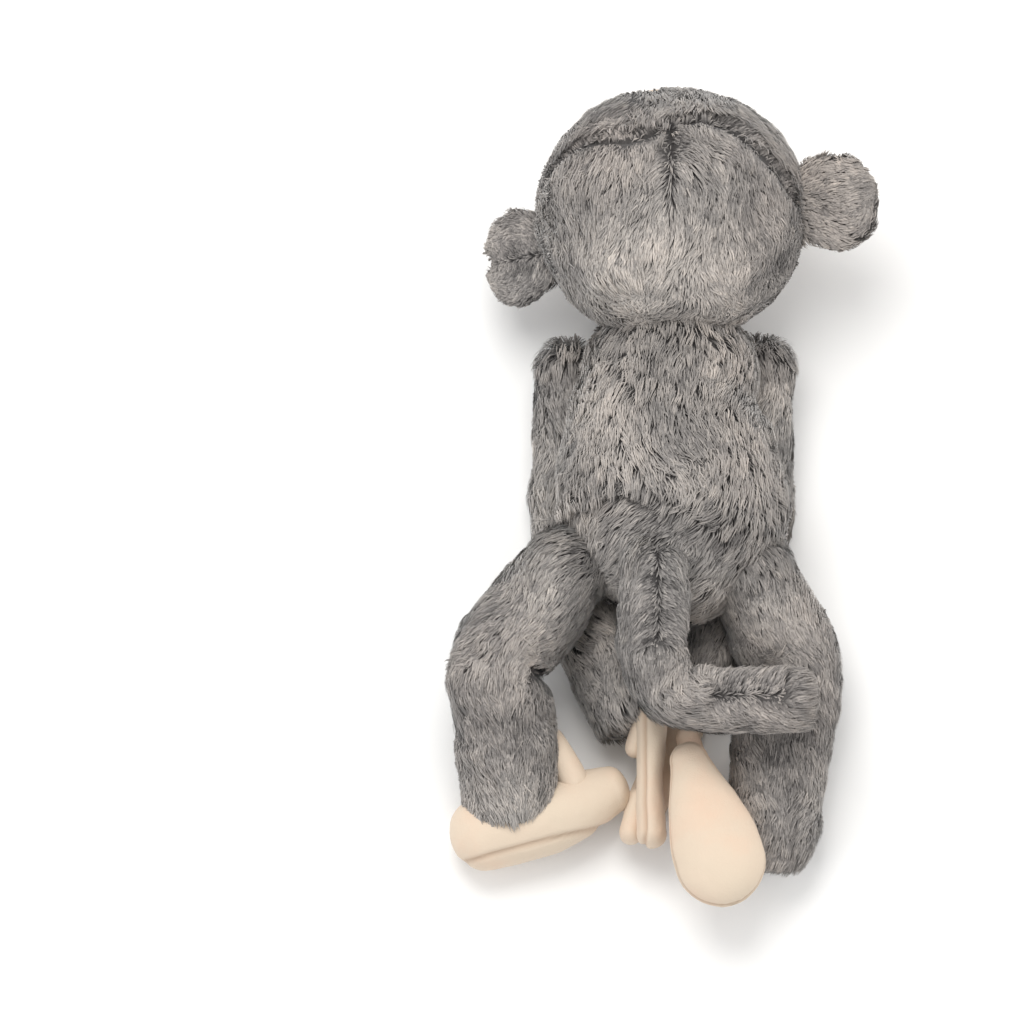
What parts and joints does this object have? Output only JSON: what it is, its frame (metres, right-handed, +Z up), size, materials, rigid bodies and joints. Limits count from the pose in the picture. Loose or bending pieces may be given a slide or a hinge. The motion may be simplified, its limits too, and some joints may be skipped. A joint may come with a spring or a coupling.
{
  "type": "stuffed monkey",
  "caption": "Long-limbed stuffed monkey lying on its belly, with a round head, pale hands and feet and a long curled tail; its head, ears, limbs and tail all swing.",
  "frame": {"origin": "centre of the toy's box, on the table it lies on", "axes": "+Z up off the table, +Y from the rump to the head, +X to the toy's right"},
  "size_m": [0.3084, 0.578, 0.189],
  "materials": {
    "fur": "tipped plush fur, 10 mm pile",
    "velour": "short pile velour",
    "filling": "polyester fibre",
    "black_plastic": "polished",
    "white_plastic": "moulded"
  },
  "bodies": {
    "torso": {"torso_back_left": "fur", "torso_back_right": "fur", "torso_belly": "fur", "torso_stuffing": "filling"},
    "neck": {"neck_stuffing": "filling"},
    "head": {"head_back_left": "fur", "head_back_right": "fur", "head_crown": "fur", "face_panel": "velour", "muzzle": "velour", "nose": "black_plastic", "eye_left": "black_plastic", "eye_right": "black_plastic", "eye_washers": "white_plastic", "head_stuffing": "filling"},
    "tail_root": {"tail_root_sleeve": "fur", "tail_root_stuffing": "filling"},
    "tail_tip": {"tail_tip_sleeve": "fur", "tail_tip_stuffing": "filling"},
    "ear_left": {"ear_left_back": "fur", "ear_left_lining": "velour"},
    "upper_arm_left": {"upper_arm_left_sleeve": "fur", "upper_arm_left_stuffing": "filling"},
    "forearm_left": {"forearm_left_sleeve": "fur", "forearm_left_stuffing": "filling"},
    "hand_left": {"hand_left_back": "velour", "hand_left_palm": "velour", "hand_left_stuffing": "filling"},
    "thigh_left": {"thigh_left_sleeve": "fur", "thigh_left_stuffing": "filling"},
    "shin_left": {"shin_left_sleeve": "fur", "shin_left_stuffing": "filling"},
    "foot_left": {"foot_left_sole": "velour", "foot_left_upper": "velour", "foot_left_stuffing": "filling"},
    "ear_right": {"ear_right_back": "fur", "ear_right_lining": "velour"},
    "upper_arm_right": {"upper_arm_right_sleeve": "fur", "upper_arm_right_stuffing": "filling"},
    "forearm_right": {"forearm_right_sleeve": "fur", "forearm_right_stuffing": "filling"},
    "hand_right": {"hand_right_back": "velour", "hand_right_palm": "velour", "hand_right_stuffing": "filling"},
    "thigh_right": {"thigh_right_sleeve": "fur", "thigh_right_stuffing": "filling"},
    "shin_right": {"shin_right_sleeve": "fur", "shin_right_stuffing": "filling"},
    "foot_right": {"foot_right_sole": "velour", "foot_right_upper": "velour", "foot_right_stuffing": "filling"}
  },
  "joints": [
    {"name": "neck_turn", "type": "hinge", "parent": "torso", "child": "neck", "pos_m": [0.00483, 0.10972, 0.088], "axis": [0, 1, 0], "range_deg": [-20, 20], "stiffness_Nm_per_rad": 0.4},
    {"name": "neck_nod", "type": "hinge", "parent": "neck", "child": "head", "pos_m": [0.00483, 0.10972, 0.088], "axis": [1, 0, 0], "range_deg": [-2, 18], "stiffness_Nm_per_rad": 0.4},
    {"name": "tail_base", "type": "hinge", "parent": "torso", "child": "tail_root", "pos_m": [-0.00817, -0.05528, 0.122], "axis": [-1, 0, 0], "range_deg": [0, 30], "stiffness_Nm_per_rad": 0.05},
    {"name": "tail_curl", "type": "hinge", "parent": "tail_root", "child": "tail_tip", "pos_m": [-0.00918, -0.11385, 0.109], "axis": [-1, 0, 0], "range_deg": [0, 30], "stiffness_Nm_per_rad": 0.05},
    {"name": "ear_left_flop", "type": "hinge", "parent": "head", "child": "ear_left", "pos_m": [-0.07995, 0.1712, 0.09088], "axis": [0.2423, -0.7956, 0.5553], "range_deg": [-16, 2], "stiffness_Nm_per_rad": 0.05},
    {"name": "shoulder_left", "type": "hinge", "parent": "torso", "child": "upper_arm_left", "pos_m": [-0.06717, 0.09872, 0.048], "axis": [-1, 0, 0], "range_deg": [0, 2], "stiffness_Nm_per_rad": 0.05},
    {"name": "elbow_left", "type": "hinge", "parent": "upper_arm_left", "child": "forearm_left", "pos_m": [-0.07018, -0.01219, 0.0218], "axis": [-1, 0, 0], "range_deg": [0, 4], "stiffness_Nm_per_rad": 0.05},
    {"name": "wrist_left", "type": "hinge", "parent": "forearm_left", "child": "hand_left", "pos_m": [-0.02917, -0.15426, 0.028], "axis": [-1, 0, 0], "range_deg": [0, 30], "stiffness_Nm_per_rad": 0.05},
    {"name": "hip_left", "type": "hinge", "parent": "torso", "child": "thigh_left", "pos_m": [-0.05917, -0.04728, 0.088], "axis": [0, 0, -1], "range_deg": [0, 22], "stiffness_Nm_per_rad": 0.05},
    {"name": "knee_left", "type": "hinge", "parent": "thigh_left", "child": "shin_left", "pos_m": [-0.11517, -0.11748, 0.082], "axis": [0, 0, -1], "range_deg": [0, 28], "stiffness_Nm_per_rad": 0.05},
    {"name": "ankle_left", "type": "hinge", "parent": "shin_left", "child": "foot_left", "pos_m": [-0.10718, -0.20538, 0.035], "axis": [0, 0, -1], "range_deg": [0, 25], "stiffness_Nm_per_rad": 0.05},
    {"name": "ear_right_flop", "type": "hinge", "parent": "head", "child": "ear_right", "pos_m": [0.09337, 0.19672, 0.10894], "axis": [-0.2147, 0.9733, 0.0815], "range_deg": [-18, 18], "stiffness_Nm_per_rad": 0.05},
    {"name": "shoulder_right", "type": "hinge", "parent": "torso", "child": "upper_arm_right", "pos_m": [0.06882, 0.09872, 0.048], "axis": [0, 0, 1], "range_deg": [0, 1], "stiffness_Nm_per_rad": 0.05},
    {"name": "elbow_right", "type": "hinge", "parent": "upper_arm_right", "child": "forearm_right", "pos_m": [0.06582, -0.01219, 0.0218], "axis": [0, 0, 1], "range_deg": [0, 3], "stiffness_Nm_per_rad": 0.05},
    {"name": "wrist_right", "type": "hinge", "parent": "forearm_right", "child": "hand_right", "pos_m": [0.02482, -0.13133, 0.022], "axis": [0, 0, 1], "range_deg": [0, 14], "stiffness_Nm_per_rad": 0.05},
    {"name": "hip_right", "type": "hinge", "parent": "torso", "child": "thigh_right", "pos_m": [0.06283, -0.04728, 0.118], "axis": [0, 0, 1], "range_deg": [0, 22], "stiffness_Nm_per_rad": 0.05},
    {"name": "knee_right", "type": "hinge", "parent": "thigh_right", "child": "shin_right", "pos_m": [0.08482, -0.12098, 0.048], "axis": [0, 0, 1], "range_deg": [0, 28], "stiffness_Nm_per_rad": 0.05},
    {"name": "ankle_right", "type": "hinge", "parent": "shin_right", "child": "foot_right", "pos_m": [0.05883, -0.24301, 0.05075], "axis": [1, 0, 0], "range_deg": [0, 22], "stiffness_Nm_per_rad": 0.05}
  ]
}
